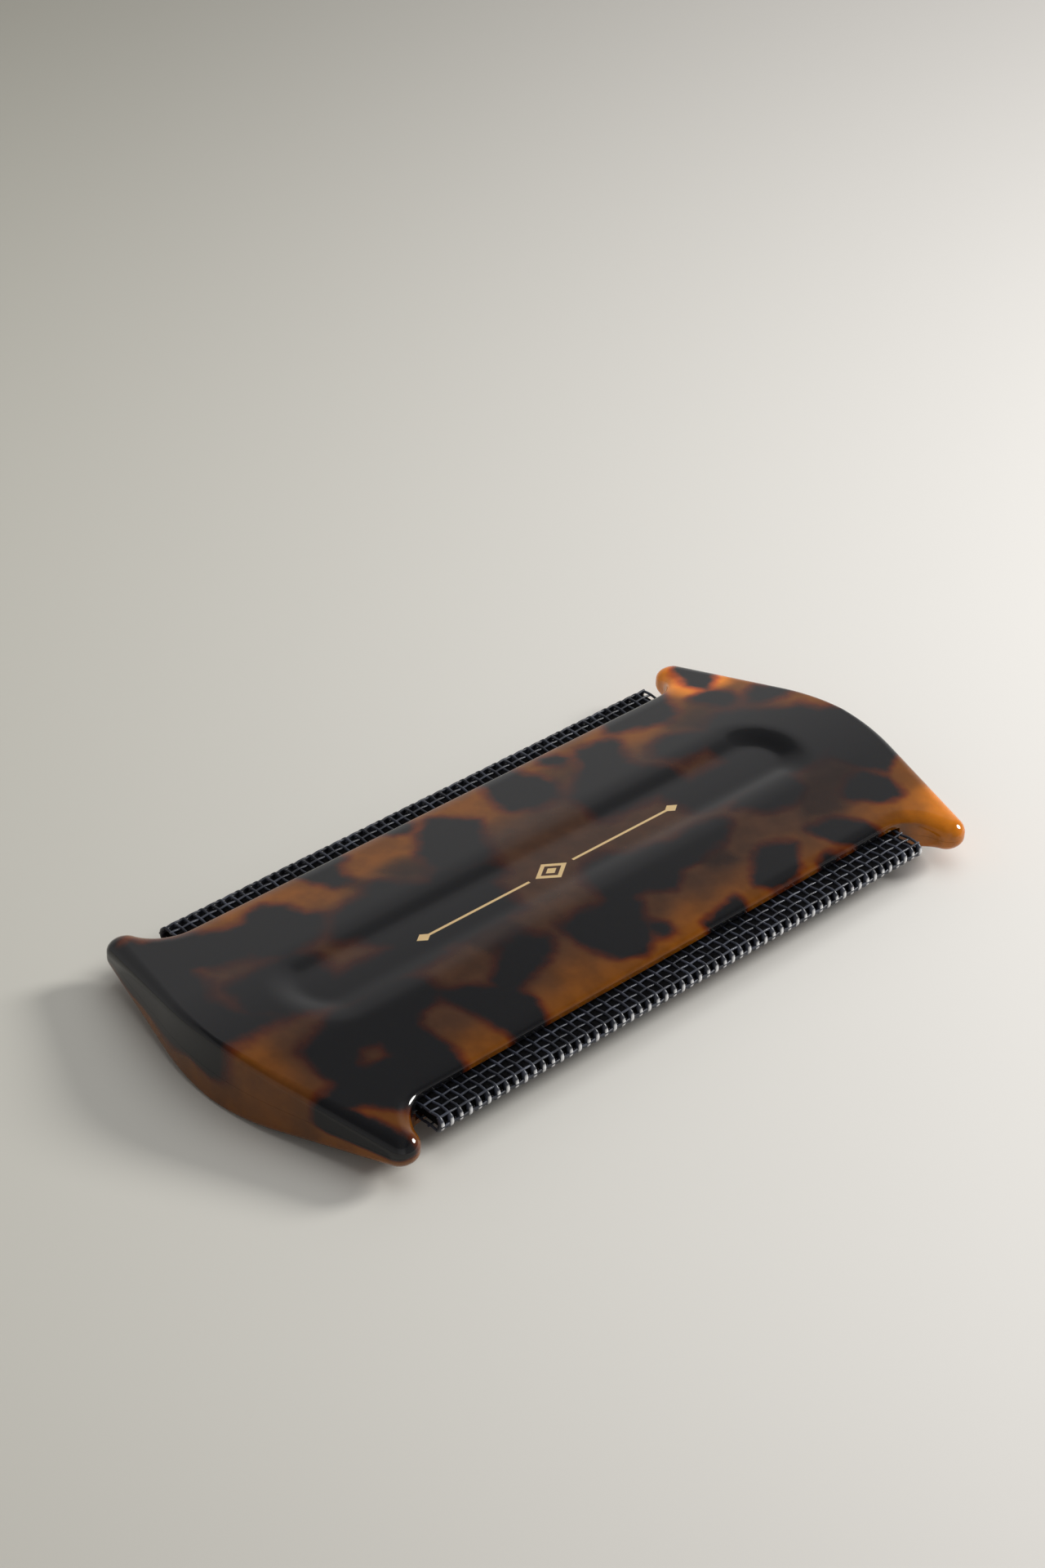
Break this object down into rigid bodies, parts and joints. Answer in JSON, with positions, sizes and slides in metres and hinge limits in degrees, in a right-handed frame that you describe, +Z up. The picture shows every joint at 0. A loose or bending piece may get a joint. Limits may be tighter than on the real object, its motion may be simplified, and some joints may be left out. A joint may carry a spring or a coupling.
{
  "type": "fabric comb",
  "caption": "Flat double-sided cashmere comb with bowed, horned ends, a thumb trough on each face and a folded mesh strip along each long side.",
  "frame": {"origin": "on the surface that the comb lies on, under the middle of its bounding box", "axes": "+X along the comb, +Z up through its thickness, +Y across it away from the front strip"},
  "size_m": [0.105, 0.0512, 0.0087],
  "materials": {
    "tortoiseshell": "polished amber acetate with near-black tortoiseshell blotches",
    "mesh": "black woven screen with a slight gloss"
  },
  "bodies": {
    "root": {"upper_body": "tortoiseshell", "lower_body": "tortoiseshell", "front_mesh": "mesh", "rear_mesh": "mesh"}
  },
  "joints": []
}
